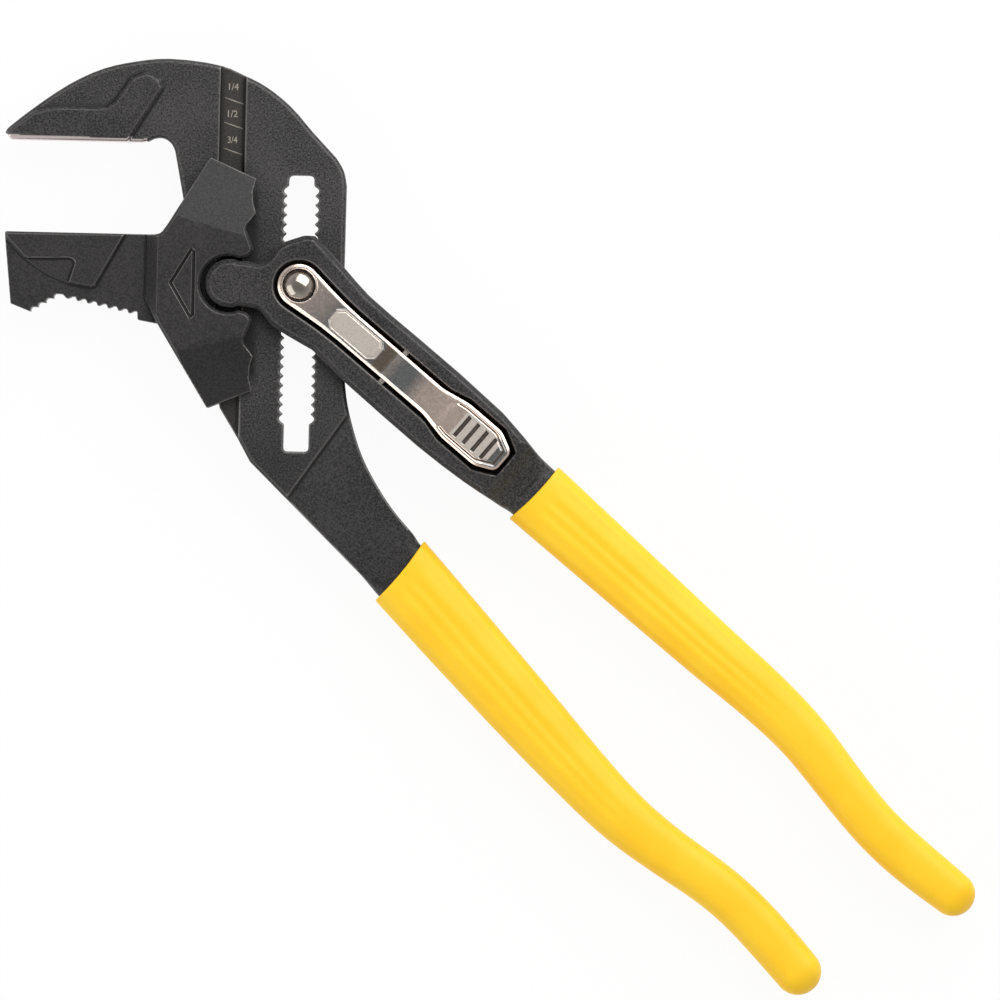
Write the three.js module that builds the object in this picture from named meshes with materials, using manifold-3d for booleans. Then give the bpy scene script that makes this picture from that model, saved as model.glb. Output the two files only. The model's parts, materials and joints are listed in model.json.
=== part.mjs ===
// A pliers wrench in millimetres: a slotted plate with a hook jaw and one handle, a forked lever with
// the other handle, and a reversible jaw that the lever's knuckle pushes along a channel of the plate.
// X runs along the jaw faces, Y along the slot and Z towards the viewer, with the pivot at the origin.
// Heights below are from the plate's mid-plane; the finished part stands with its back on Z = 0.
import * as THREE from "three";
import { mergeVertices } from "three/addons/utils/BufferGeometryUtils.js";
import Module from "manifold-3d";

const wasm = await Module();
wasm.setup();

// Clearances
const runningGap = 0.3; // between faces that slide on one another
const fitGap = 0.3; // round pins and in sockets
const toothGap = 0.4; // between the pin's teeth and the notches
const knucklePlay = 0.95; // between the knuckle and its socket

// Thicknesses
const plateThickness = 10;
const leverCheek = 5;
const jawCheek = 4.4;
const padRise = 1; // of the hook pad above the plate
const noseThickness = 10.4;
const panelRise = 0.8; // of the nose panel above the nose
const channelDepth = 1.8;
const tangStep = 0.6; // by which each face of the tang is lower than the plate
const rockerSkin = 1.6; // metal left between the rocker and the plate

// Jaws
const fixedFaceY = 34.5;
const groundBevel = 0.8; // along the hook's face
const jawOpening = 22.67;
const noseTipX = -73;
const webX = -32.6; // wall of the sliding jaw that faces the plate's edge
const shoulderX = -37.8; // where the sliding jaw's cheeks rise from its nose
const channelX = -17.35;
const channelWidth = 6.2;
const socketX = -17.45;
const socketRadius = 6.95;

// Slot
const notchPitch = 2.34;
const notchDepth = 1.1;
const slotTipHalf = 3.32; // half the width between opposite tooth tips
const slotEndHalf = 3.12;
const notchesAbove = 10;
const notchesBelow = 14;
const slotTop = 27.24;
const slotBottom = -40.8;

// Pivot
const journalRadius = 5.1;
const shankRadius = 2.2;
const neckRadius = 2.2;
const noseRadius = 3;
const flangeRadius = 7;
const flangeThickness = 1.5;
const domeRadius = 3.45;
const domeHeight = 1.9;
const stemRadius = 1.1;
const liftPlay = 0.5; // under the dome, for the rocker's tilt

// Rocker, with its length measured from the pivot along the lever
const leverAngle = THREE.MathUtils.degToRad(-39.5);
const rockerEye = 5.25;
const rockerWaist = 3.95;
const rockerPad = 5.35;
const rockerRim = 0.8;
const rockerEnd = 66.3;
const rockerPlay = 0.6; // beside the rocker
const underPlay = 0.8; // under the rocker's eye
const crossPinAlong = 30.7;
const crossPinRadius = 0.9;
const crossPinHalf = 7.8;
const crossPinDrop = 1.5; // below the lever's face
const padLift = 2.1; // of the thumb pad's end above the lever's face

// Spring
const springAlong = 54.7;
const springRadius = 2.15;
const wireRadius = 0.35;
const springTurns = 4;
const pocketFloor = 1.5;

// Grips
const gripWall = 1.35;
const gripHalf = 5.9; // half the thickness
const barChamfer = 1.8;

const plateHalf = plateThickness / 2;
const padHalf = plateHalf + padRise;
const tangHalf = plateHalf - tangStep;
const channelFloor = plateHalf - channelDepth;
const cheekInside = plateHalf + runningGap;
const leverHalf = cheekInside + leverCheek;
const jawHalf = cheekInside + jawCheek;
const noseHalf = noseThickness / 2;
const panelHalf = noseHalf + panelRise;
const slidingFaceY = fixedFaceY - jawOpening;
const heelY = slidingFaceY - 21.95; // where the toothed side of the nose meets the lower wing
const recessFloor = cheekInside + rockerSkin;
const eyeUnder = recessFloor + underPlay;
const eyeLedge = eyeUnder + 1.3;
const domeBase = eyeLedge + liftPlay;
const neckTop = domeBase - fitGap;
const crossPinZ = leverHalf - crossPinDrop;

// Two handles as [x, y, half width of the grip]: root in the metal, mouth of the grip, then the bends
const fixedHandle = [
  [21.1, -63.7, 9.2], [26.4, -69.7, 9.4], [57.2, -103, 8.4], [69.4, -116, 7.6], [82.7, -129.2, 6.8],
  [94.9, -138.2, 6.15], [105.9, -145.4, 5.95], [113.6, -152, 5.95], [121.2, -160, 5.95], [126.6, -166.1, 5.8],
];
const leverHandle = [
  [53, -44.6, 9], [59.2, -49.85, 8.8], [82.4, -69.75, 8.2], [106.1, -89.9, 7.25], [115.7, -97.8, 6.9],
  [126.8, -108.2, 6.4], [136.2, -120, 6.05], [145.2, -130.5, 5.95], [154.4, -138.5, 6], [164.4, -146.1, 5.5],
];

// Shapes

const place = (list) => list.map(([x, y]) => new THREE.Vector2(x, y));
const polygon = (list) => new THREE.Shape(place(list));
const upsideDown = (list) => list.map(([x, y]) => [x, -y]).reverse();

// Points of a smooth curve through the given ones
function smooth(list, perGap = 3) {
  const curve = new THREE.CatmullRomCurve3(list.map(([x, y]) => new THREE.Vector3(x, y, 0)));
  return curve.getPoints((list.length - 1) * perGap).map((p) => [p.x, p.y]);
}

function arc(x, y, radius, from, to, steps) {
  return Array.from({ length: steps + 1 }, (_, i) => {
    const angle = THREE.MathUtils.degToRad(from + ((to - from) * i) / steps);
    return [x + radius * Math.cos(angle), y + radius * Math.sin(angle)];
  });
}

// Solids

function closed(positions, triangles) {
  const mesh = new wasm.Mesh({ numProp: 3, vertProperties: positions, triVerts: new Uint32Array(triangles) });
  return new wasm.Manifold(mesh);
}

function solid(geometry) {
  const loose = geometry.index ? geometry.toNonIndexed() : geometry;
  const bare = new THREE.BufferGeometry().setAttribute("position", loose.getAttribute("position"));
  const merged = mergeVertices(bare, 1e-4);
  const index = merged.index.array;
  const triangles = [];
  for (let i = 0; i < index.length; i += 3) {
    const [a, b, c] = index.slice(i, i + 3);
    if (a !== b && b !== c && c !== a) triangles.push(a, b, c);
  }
  const made = closed(merged.attributes.position.array, triangles);
  return made.volume() > 0 ? made : closed(merged.attributes.position.array, triangles.reverse());
}

// Surface of a solid, without the slivers that cuts along one plane leave
function geometryOf(body) {
  const data = body.simplify(0.003).getMesh();
  const geometry = new THREE.BufferGeometry();
  geometry.setAttribute("position", new THREE.BufferAttribute(data.vertProperties, 3));
  return geometry.setIndex(new THREE.BufferAttribute(data.triVerts, 1));
}

// Upright prism between two heights; grow widens its outline
function prism(shape, bottom, top, chamfer = 0, grow = 0) {
  const geometry = new THREE.ExtrudeGeometry(shape, {
    depth: top - bottom - 2 * chamfer,
    bevelEnabled: chamfer > 0 || grow !== 0,
    bevelThickness: chamfer,
    bevelSize: chamfer,
    bevelOffset: grow - chamfer,
    bevelSegments: 1,
    curveSegments: 4,
  });
  return geometry.translate(0, 0, bottom + chamfer);
}

// Tool for a recess whose walls lean outwards by flare over its depth
function recess(shape, floor, depth, flare, grow = 0) {
  const geometry = new THREE.ExtrudeGeometry(shape, {
    depth: 4,
    bevelThickness: depth,
    bevelSize: flare,
    bevelOffset: grow,
    bevelSegments: 1,
    curveSegments: 4,
  });
  return geometry.translate(0, 0, floor + depth);
}

// Profile of length and height, drawn out to both sides of the lever's centre line
function sideways(list, half) {
  const geometry = prism(polygon(list), -half, half);
  return geometry.rotateX(Math.PI / 2);
}

// Profile of Y and height, drawn out along X
function lengthways(list, from, to) {
  return prism(polygon(list), from, to).rotateX(Math.PI / 2).rotateZ(Math.PI / 2);
}

function revolve(profile, segments = 32) {
  return new THREE.LatheGeometry(place(profile), segments).rotateX(Math.PI / 2);
}

function block(x0, x1, y0, y1, z0, z1) {
  const geometry = new THREE.BoxGeometry(x1 - x0, y1 - y0, z1 - z0);
  return geometry.translate((x0 + x1) / 2, (y0 + y1) / 2, (z0 + z1) / 2);
}

// Everything on the side of a plane that its normal points to
function beyond(point, normal) {
  const turn = new THREE.Quaternion().setFromUnitVectors(new THREE.Vector3(0, 0, 1), normal.normalize());
  return block(-200, 200, -200, 200, 0, 60).applyQuaternion(turn).translate(...point);
}

const onLever = (geometry) => geometry.rotateZ(leverAngle);
const toBack = (geometry) => geometry.clone().scale(1, 1, -1);
const cut = (body, ...tools) => tools.reduce((left, tool) => left.subtract(solid(tool)), body);
const cutBoth = (body, ...tools) => tools.reduce((left, tool) => cut(left, tool, toBack(tool)), body);
const join = (body, ...others) => others.reduce((sum, next) => sum.add(solid(next)), body);

// Handles

const handleCurve = (handle) => new THREE.CatmullRomCurve3(handle.map((p) => new THREE.Vector3(...p)));

// Point on a handle with its side direction, half width and direction of travel
function station(handle, share) {
  const curve = handleCurve(handle);
  const at = curve.getPoint(share);
  const ahead = curve.getTangent(share);
  const along = new THREE.Vector2(ahead.x, ahead.y).normalize();
  return { at, along, side: new THREE.Vector2(-along.y, along.x), half: at.z };
}

// Outline of a bar inside the grip, with a rounded end
function barOutline(handle, grow, from) {
  const steps = 20;
  const left = [];
  const right = [];
  for (let i = 0; i <= steps; i++) {
    const { at, side, half } = station(handle, from + ((1 - from) * i) / steps);
    const reach = half - gripWall + grow;
    left.push([at.x + side.x * reach, at.y + side.y * reach]);
    right.push([at.x - side.x * reach, at.y - side.y * reach]);
  }
  const { at, along, half } = station(handle, 1);
  const heading = THREE.MathUtils.radToDeg(Math.atan2(along.y, along.x));
  const end = arc(at.x, at.y, half - gripWall + grow, heading + 90, heading - 90, 8).slice(1, -1);
  return polygon([...left, ...end, ...right.reverse()]);
}

const bar = (handle) => prism(barOutline(handle, 0, 0), -tangHalf, tangHalf, barChamfer);

// One cross-section of a grip, a rounded rectangle
function gripRing(at, side, half, height) {
  return Array.from({ length: 24 }, (_, i) => {
    const angle = (2 * Math.PI * i) / 24;
    const swell = (Math.abs(Math.cos(angle)) ** 3 + Math.abs(Math.sin(angle)) ** 3) ** (-1 / 3);
    const across = half * swell * Math.cos(angle);
    return [at.x + side.x * across, at.y + side.y * across, height * swell * Math.sin(angle)];
  });
}

// Skin through equal rings, closed at both ends
function loft(rings) {
  const count = rings[0].length;
  const centre = (ring) => [0, 1, 2].map((k) => ring.reduce((sum, p) => sum + p[k], 0) / count);
  const points = [...rings.flat(), centre(rings[0]), centre(rings.at(-1))];
  const index = [];
  const last = (rings.length - 1) * count;
  for (let i = 0; i < count; i++) {
    const next = (i + 1) % count;
    for (let row = 0; row < last; row += count) {
      index.push(row + i, row + next, row + count + next, row + i, row + count + next, row + count + i);
    }
    index.push(points.length - 2, next, i, points.length - 1, last + i, last + next);
  }
  const geometry = new THREE.BufferGeometry();
  geometry.setAttribute("position", new THREE.Float32BufferAttribute(points.flat(), 3));
  return geometry.setIndex(index);
}

function grip(handle) {
  const mouth = 1 / (handle.length - 1);
  const steps = 18;
  const rings = [];
  const first = station(handle, mouth);
  rings.push(gripRing(first.at, first.side, first.half - 0.4, gripHalf - 0.4));
  for (let i = 0; i <= steps; i++) {
    const share = mouth + 0.004 + ((0.996 - mouth) * i) / steps;
    const { at, side, half } = station(handle, share);
    rings.push(gripRing(at, side, half, gripHalf));
  }
  const { at, along, side, half } = station(handle, 1);
  for (let i = 1; i <= 6; i++) {
    const angle = (i * Math.PI * 0.46) / 6;
    const spot = { x: at.x + along.x * half * Math.sin(angle), y: at.y + along.y * half * Math.sin(angle) };
    rings.push(gripRing(spot, side, half * Math.cos(angle), gripHalf * Math.cos(angle)));
  }
  const hollow = prism(barOutline(handle, fitGap, 0), -tangHalf - fitGap, tangHalf + fitGap, barChamfer);
  return cut(solid(loft(rings)), hollow);
}

// Slot and the pin's teeth share one wave of notches
const slotHalf = (y) => slotTipHalf + notchDepth * Math.abs(Math.cos((Math.PI * y) / notchPitch));

function notchSide(from, to, gap) {
  const steps = Math.round(((from - to) / notchPitch) * 6);
  return Array.from({ length: steps + 1 }, (_, i) => {
    const y = from + ((to - from) * i) / steps;
    return [slotHalf(y) - gap, y];
  });
}

function slotOutline() {
  const upper = (notchesAbove + 0.5) * notchPitch;
  const lower = -(notchesBelow + 0.5) * notchPitch;
  const side = [
    ...arc(slotEndHalf - 1, slotTop - 1, 1, 90, 0, 3),
    [slotEndHalf, upper],
    ...notchSide(upper, lower, 0),
    [slotEndHalf, lower],
    ...arc(slotEndHalf - 0.75, slotBottom + 0.75, 0.75, 0, -90, 3),
  ];
  return polygon([...side, ...side.map(([x, y]) => [-x, y]).reverse()]);
}

// Fixed jaw with its plate and tang

function plateOutline() {
  return polygon([
    [noseTipX + 1.2, fixedFaceY], [-39.5, fixedFaceY], [-37.8, fixedFaceY + 0.35],
    ...smooth([
      [-36.8, fixedFaceY + 0.9], [-35.3, fixedFaceY + 1.25], [-33.7, fixedFaceY + 0.95],
      [-32.1, fixedFaceY - 0.4], [-31.3, fixedFaceY - 2.1],
    ], 2),
    [-19, -30.5], [-14.2, -38.2], [-11.2, -43.6], [20, -74],
    ...smooth([
      [30.3, -61.5], [24.3, -54.7], [20, -48.4], [16.4, -41.7], [14, -34.9], [12.4, -28.6], [11.7, -23.7],
    ]),
    [11, 0], ...smooth([[11.1, 25], [10.3, 28.6], [8.5, 31.6]]),
    ...smooth([
      [2.4, 38], [-3.1, 44.1], [-9.2, 48.8], [-14.4, 51.4], [-20.1, 53.7], [-33.3, 55.2], [-41.6, 54.3],
      [-49.4, 52.4], [-57.7, 48.4], [noseTipX + 5.4, fixedFaceY + 6.9], [noseTipX + 0.3, fixedFaceY + 2.7],
    ]),
    [noseTipX - 0.2, fixedFaceY + 1.7], [noseTipX + 0.4, fixedFaceY + 0.8],
  ]);
}

function hookPadOutline() {
  return polygon([
    [noseTipX + 1.2, fixedFaceY], [-43, fixedFaceY], [-34.7, 48],
    ...smooth([[-35.3, 50], [-38.5, 51.6], [-42.3, 50.2]]),
    ...smooth([[-46.5, 44.2], [-48.5, 43], [-61.2, 42.7], [noseTipX + 6.6, fixedFaceY + 6.9]]),
    [noseTipX + 1.1, fixedFaceY + 2.6], [noseTipX, fixedFaceY + 1.7], [noseTipX + 0.4, fixedFaceY + 0.8],
  ]);
}

function fixedJaw() {
  const forging = join(
    solid(prism(plateOutline(), -plateHalf, plateHalf, 0.7)),
    prism(hookPadOutline(), -padHalf, padHalf, 0.6),
    bar(fixedHandle),
  );
  const tang = polygon([[20.7, -19.5], [-11.4, -66], [20, -90], [60, -70], [40, -19.5]]);
  const channel = block(
    channelX - channelWidth / 2, channelX + channelWidth / 2, -80, 80, channelFloor, padHalf + 1,
  );
  const bevelTop = fixedFaceY + groundBevel;
  const bevel = lengthways([
    [bevelTop, padHalf], [bevelTop, padHalf + 1], [fixedFaceY - 1, padHalf + 1],
    [fixedFaceY - 1, padHalf - groundBevel - 1],
  ], noseTipX - 1, -34);
  const stepped = cutBoth(forging, prism(tang, tangHalf, padHalf + 1), channel, bevel);
  return cut(stepped, prism(slotOutline(), -plateHalf - 1, plateHalf + 1));
}

// Sliding jaw

function jawOutline() {
  const wing = [
    [-35.8, slidingFaceY], [-34.7, slidingFaceY + 0.2], [-33.9, slidingFaceY + 0.8],
    [webX, slidingFaceY + 2.7], [-22.5, 31.1], [-11.1, 26.1],
    ...smooth([[-11.9, 23], [-11.7, 20], [-11, 17.65]], 2),
    [-13.1, 14.8], [-13.35, 13.6], [-11.7, 9.45], [-11.5, 8.7], [-11.9, 7.8], [-12.6, 7.1], [-13.5, 6.65],
  ];
  const lower = upsideDown([[-22.1, 30.6], ...wing.slice(5)]);
  return polygon([
    [shoulderX, heelY + 6.4], [shoulderX, slidingFaceY], ...wing,
    ...arc(socketX, 0, socketRadius, 68, 292, 18), ...lower, [-34.7, heelY],
  ]);
}

// Nose with the toothed hollow for pipes, whose two rows of teeth rise to a ridge
function noseOutline() {
  const ridge = [-58.2, slidingFaceY - 15.22];
  const teeth = [];
  let [x, y] = [ridge[0] - 2.19, ridge[1] - 1.2];
  for (; x > noseTipX + 5.5; x -= 1.87, y -= 1.1) {
    teeth.unshift([x, y], [x - 0.05, y + 0.7], [x + 0.35, y + 1.25], [x + 1.05, y + 1.3]);
  }
  teeth.push(ridge);
  for (let i = 0; i < 7; i++) {
    const tip = [ridge[0] + 1 + 2.55 * i, ridge[1] - 1.06 - 0.545 * i];
    teeth.push(...[[0, 0], [0.7, 0.16], [1.25, 0.52], [1.85, 0.58], [2.3, 0.25]].map(
      ([across, up]) => [tip[0] + across, tip[1] + up]));
  }
  const outer = teeth[0][1];
  return polygon([
    [noseTipX + 0.3, slidingFaceY], [noseTipX + 0.3, slidingFaceY - 1.4], [noseTipX + 2, outer + 1.95],
    ...teeth,
    [-39.76, heelY + 2.4], [-39.6, heelY + 0.85], [-34.66, heelY], [webX - 0.4, heelY + 1.1],
    [webX - 0.4, slidingFaceY - 1], [-35.5, slidingFaceY],
  ]);
}

function panelOutline() {
  return polygon([
    [noseTipX + 0.3, slidingFaceY], [noseTipX + 0.3, slidingFaceY - 1.4],
    ...smooth([
      [noseTipX + 4.9, slidingFaceY - 6.2], [-62.5, slidingFaceY - 10], [-56.8, slidingFaceY - 12.4],
      [-51.1, slidingFaceY - 13.4],
    ]),
    [-50.2, slidingFaceY - 13.1], [-43, slidingFaceY],
  ]);
}

// Shallow pocket of the panel, which runs out over its curved edge
function pocketOutline() {
  return polygon([
    [noseTipX + 4, slidingFaceY - 6.5], [-63, slidingFaceY - 11.3], [-57.1, slidingFaceY - 13.3],
    [-55.3, slidingFaceY - 7.4], [-55.7, slidingFaceY - 6.6], [-56.8, slidingFaceY - 6.2],
  ]);
}

function slidingJaw() {
  const railHalf = channelWidth / 2 - runningGap;
  const railReach = channelFloor + runningGap;
  const rail = block(channelX - railHalf, channelX + railHalf, -60, 60, railReach, cheekInside + 1);
  const throatRoom = block(webX - 3.4, webX + 1, slidingFaceY + 0.4, 60, -cheekInside, cheekInside);
  const inside = solid(block(webX, 40, -60, 60, -cheekInside, cheekInside));
  const plateSpace = join(cutBoth(inside, rail), throatRoom);
  const fall = 2.2 / 16;
  const upper = new THREE.Vector3(0.2595 * fall, 0.9657 * fall, 1);
  const lower = new THREE.Vector3(0.2595 * fall, -0.9657 * fall, 1);
  const shoulder = new THREE.Vector3(-(jawHalf - panelHalf), 0, 2.8);
  const cheeks = cutBoth(
    solid(prism(jawOutline(), -jawHalf, jawHalf, 0.7)),
    beyond([-29, 16, jawHalf], upper),
    beyond([-29, -16, jawHalf], lower),
    beyond([shoulderX, 0, panelHalf], shoulder),
  );
  const whole = join(
    cheeks.subtract(plateSpace),
    prism(noseOutline(), -noseHalf, noseHalf),
    prism(panelOutline(), -panelHalf, panelHalf, 0.5),
  );
  const arrow = polygon([
    [-26.8, 8.76], [-31.9, 0.26], [-31.9, -0.26], [-26.8, -8.7], [-25.7, -7.9], [-25.7, 7.9],
  ]);
  const line = cut(
    solid(prism(arrow, -jawHalf - 1, jawHalf + 1)),
    prism(arrow, -jawHalf - 2, jawHalf + 2, 0, -0.7),
  );
  const groove = cut(line, block(-60, 0, -20, 20, -jawHalf + 0.45, jawHalf - 0.45));
  return cutBoth(whole, prism(pocketOutline(), panelHalf - 0.6, panelHalf + 1)).subtract(groove);
}

// Lever

const knuckle = { x: socketX + 0.35, y: 0.2, radius: socketRadius - knucklePlay };

function leverOutline() {
  return polygon([
    ...arc(knuckle.x, knuckle.y, knuckle.radius, 68, 292, 16),
    ...smooth([[-13, -5.5], [-9.9, -6.1], [-8.25, -7.8], [-6.7, -9.7], [-4.1, -11.5], [3.5, -15.7]]),
    ...smooth([[11.75, -23.5], [30.2, -39], [41.5, -47.3], [48.9, -52], [52, -54]], 2),
    ...smooth([
      [62, -42.5], [59.8, -40.3], [50.9, -30.2], [29, -11.7], [17.2, -2], [11.3, 4.4], [3.7, 12.3],
    ], 2),
    ...smooth([[1, 12.35], [-5.2, 9.9], [-6.7, 7.8], [-8.3, 6], [-10.45, 5.3], [-13, 5.75]]),
  ]);
}

// Rocker's plan in the lever's own axes: the sides of its eye and thumb pad, then the whole
const eyeSide = smooth([
  [1.4, -rockerEye + 0.1], [6.4, -rockerWaist - 0.65], [11, -rockerWaist - 0.2], [16.3, -rockerWaist],
], 2);
const padSide = [
  [44, -rockerWaist], ...smooth([[45.5, -rockerWaist - 0.1], [50.5, -rockerPad]], 2),
  [rockerEnd - 4.8, -rockerPad], [rockerEnd, -2.95],
];

function rockerOutline() {
  const half = [...eyeSide, ...padSide];
  return polygon([...arc(0, 0, rockerEye, 84, 276, 16), ...half, ...upsideDown(half)]);
}

function leverHandleForging() {
  const forkRoot = smooth([
    [13.4, 16], [13.4, 10], [13.8, -4], [15, -13.5], [17.4, -20.2], [21, -27], [25.4, -33.2], [34, -44],
  ]);
  const fork = polygon([[-30, 16], ...forkRoot, [-30, -44]]);
  const taper = [[64, leverHalf + 5], [66.5, leverHalf], [68.5, leverHalf - 1.2], [71, tangHalf + 2.2],
    [73, tangHalf + 0.7], [75.5, tangHalf], [90, tangHalf], [90, leverHalf + 5]];
  const thick = cut(solid(prism(leverOutline(), -leverHalf, leverHalf, 1.2)),
    prism(fork, -cheekInside, cheekInside));
  const shaped = join(cutBoth(thick, onLever(sideways(taper, 30))), bar(leverHandle));
  const room = recess(rockerOutline(), recessFloor, leverHalf - recessFloor, 0.6, rockerPlay);
  const pocket = prism(polygon([...padSide, ...upsideDown(padSide)]), pocketFloor, leverHalf, 0, rockerPlay);
  const round = arc(crossPinAlong, crossPinZ, crossPinRadius + fitGap, 0, 330, 11);
  const pinHole = sideways(round, crossPinHalf + fitGap);
  const bore = journalRadius + fitGap;
  const frontBore = revolve([[0, 0], [bore, 0], [bore, leverHalf], [0, leverHalf]]);
  const rearBore = revolve([[0, -leverHalf - 1], [bore, -leverHalf - 1], [bore, 0], [0, 0]]);
  const sunk = flangeRadius + fitGap;
  const seat = flangeThickness + fitGap - leverHalf;
  const flangeSeat = revolve([[0, -leverHalf - 1], [sunk, -leverHalf - 1], [sunk, seat], [0, seat]]);
  return cut(shaped, onLever(room), onLever(pocket), onLever(pinHole), frontBore, rearBore, flangeSeat);
}

// Rocker, pivot and spring

// Height of the rocker's top along its length, lowered by drop
function rockerProfile(drop) {
  const hub = eyeUnder - 0.4;
  const padUnder = eyeUnder + 0.6;
  return [
    [-7, eyeUnder], [crossPinAlong - 4.2, eyeUnder], [crossPinAlong - 2.7, hub], [crossPinAlong + 2.8, hub],
    [crossPinAlong + 5.3, padUnder], [68, padUnder + 1.37], [68, leverHalf + padLift - drop],
    [crossPinAlong, leverHalf + 0.6 - drop], [-7, leverHalf - drop],
  ];
}

function rocker() {
  const plan = rockerOutline();
  const top = leverHalf + padLift + 2;
  const sunken = (shape, depth, grow) =>
    cut(solid(prism(shape, leverHalf - 0.6, top, 0, grow)), sideways(rockerProfile(depth), 12));
  const body = solid(prism(plan, 0, top)).intersect(solid(sideways(rockerProfile(0), 12)));
  const inner = [...eyeSide.map(([x, y]) => [x, y + rockerRim]), [29.2, rockerRim - rockerWaist]];
  const field = polygon([
    ...arc(0, 0, rockerEye - rockerRim, 84, 276, 14), ...inner, ...upsideDown(inner),
  ]);
  field.holes.push(new THREE.Path(place([
    [11, -1.4], [11, 1.4], [12.6, 2.8], [24.4, 2.8], [26, 1.4], [26, -1.4], [24.4, -2.8], [12.6, -2.8],
  ])));
  const half = [[48.5, -4.9], [50.6, -rockerPad], [61.5, -rockerPad], [rockerEnd, -2.95]];
  const pad = polygon([...half, ...upsideDown(half)]);
  const frame = cut(sunken(pad, 0.35, -1), prism(pad, 0, top, 0, -1.5), block(40, 50.4, -9, 9, 0, top + 1));
  const ribs = [52.6, 55.4, 58.2, 61].map((x) => sunken(
    polygon([[x, -3.1], [x + 0.9, -3.1], [x + 0.9, 3.1], [x, 3.1]]), 0.5, 0));
  const carved = [sunken(field, 0.35, 0), frame, ...ribs].reduce((left, tool) => left.subtract(tool), body);
  const hole = neckRadius + 2 * fitGap;
  const seat = domeRadius + 0.5;
  const eye = revolve([[0, 0], [hole, 0], [hole, eyeLedge], [seat, eyeLedge], [seat, top], [0, top]]);
  const pinHole = sideways(arc(crossPinAlong, crossPinZ, crossPinRadius + fitGap, 0, 330, 11), 12);
  return cut(carved, eye, pinHole);
}

const crossPin = () => sideways(arc(crossPinAlong, crossPinZ, crossPinRadius, 0, 345, 23), crossPinHalf);

function toothedPin() {
  const shoulder = 1.5 * notchPitch;
  const side = [
    [slotTipHalf - toothGap, journalRadius], ...notchSide(shoulder, -shoulder, toothGap),
    [slotTipHalf - toothGap, -journalRadius],
  ];
  const teeth = polygon([...side, ...side.map(([x, y]) => [-x, y]).reverse()]);
  const round = journalRadius - 0.1;
  const barrel = revolve([[0, 0], [round, 0], [round, 20], [0, 20]]);
  const stem = revolve([
    [0, -leverHalf], [shankRadius, -leverHalf], [shankRadius, cheekInside], [journalRadius, cheekInside],
    [journalRadius, recessFloor], [neckRadius, recessFloor], [neckRadius, neckTop],
    [stemRadius + fitGap, neckTop], [stemRadius + fitGap, neckTop - 2], [0, neckTop - 2],
  ]);
  return solid(prism(teeth, 1.7, cheekInside + 0.5)).intersect(solid(barrel)).add(solid(stem));
}

function bushing() {
  const bore = shankRadius + fitGap;
  const seat = flangeThickness - leverHalf;
  return revolve([
    [bore, -leverHalf], [flangeRadius, -leverHalf], [flangeRadius, seat], [journalRadius, seat],
    [journalRadius, -cheekInside], [noseRadius, -cheekInside], [noseRadius, -0.5], [bore, -0.5],
    [bore, -leverHalf],
  ]);
}

function dome() {
  const round = arc(0, domeBase, 1, 0, 90, 7).map(([x, y]) => [
    x * domeRadius, domeBase + (y - domeBase) * domeHeight,
  ]);
  round[round.length - 1][0] = 0;
  return revolve([[0, neckTop - 1.7], [stemRadius, neckTop - 1.7], [stemRadius, domeBase], ...round]);
}

class Helix extends THREE.Curve {
  constructor(centre, low, high) {
    super();
    Object.assign(this, { centre, low, high });
  }
  getPoint(share) {
    const angle = 2 * Math.PI * springTurns * share;
    const height = this.low + (this.high - this.low) * share;
    return new THREE.Vector3(
      this.centre.x + springRadius * Math.cos(angle), this.centre.y + springRadius * Math.sin(angle), height,
    );
  }
}

function spring() {
  const centre = new THREE.Vector2(springAlong * Math.cos(leverAngle), springAlong * Math.sin(leverAngle));
  const padUnder = eyeUnder + 0.6 + ((springAlong - crossPinAlong - 5.3) / 32) * 1.37;
  const path = new Helix(centre, pocketFloor + fitGap + wireRadius, padUnder - fitGap - wireRadius);
  const steps = 8 * springTurns;
  const wire = new THREE.ExtrudeGeometry(polygon(arc(0, 0, wireRadius, 0, 288, 4)), {
    steps, extrudePath: path, bevelEnabled: false,
  });
  let least = Infinity;
  const points = Array.from({ length: steps + 1 }, (_, i) => path.getPoint(i / steps));
  points.forEach((p, i) => {
    for (let j = i + 5; j <= steps; j++) least = Math.min(least, p.distanceTo(points[j]) - 2 * wireRadius);
  });
  console.log("least gap between spring coils " + least.toFixed(2) + " mm");
  return wire;
}

// Assembly

const part = new THREE.Group();
part.name = "pliers_wrench";

function add(name, body, color, roughness, metalness) {
  const geometry = geometryOf(body);
  geometry.computeVertexNormals();
  const mesh = new THREE.Mesh(geometry, new THREE.MeshStandardMaterial({ color, roughness, metalness }));
  mesh.name = name;
  mesh.position.z = leverHalf;
  part.add(mesh);
}

add("fixed_jaw_handle", fixedJaw(), 0x3a3839, 0.6, 0.7);
add("sliding_jaw", slidingJaw(), 0x373536, 0.5, 0.7);
add("lever_handle", leverHandleForging(), 0x3a3839, 0.6, 0.7);
add("fixed_handle_grip", grip(fixedHandle), 0xffcc2b, 0.5, 0);
add("lever_handle_grip", grip(leverHandle), 0xffcc2b, 0.5, 0);
add("release_rocker", solid(onLever(geometryOf(rocker()))), 0xb3a79c, 0.3, 1);
add("rocker_cross_pin", solid(onLever(crossPin())), 0xc4bdb5, 0.3, 1);
add("toothed_pivot_pin", toothedPin(), 0x8a8784, 0.4, 1);
add("pivot_dome_rivet", solid(dome()), 0xc9c2ba, 0.2, 1);
add("pivot_bushing", solid(bushing()), 0x5a5856, 0.5, 0.9);
add("release_spring", solid(spring()), 0x9a9896, 0.4, 1);

export default part;
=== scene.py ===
# %% [markdown]
# # A pliers wrench, dressed over its CAD solids
# The tool has a hook jaw, a sliding jaw, a lever and two dipped handles. The CAD solids give every
# place and size, and this lesson gives them their worn edges and finishes. Blender works in metres, and
# sizes here are written in millimetres.

# %% Load the solids
import json
import math

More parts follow.
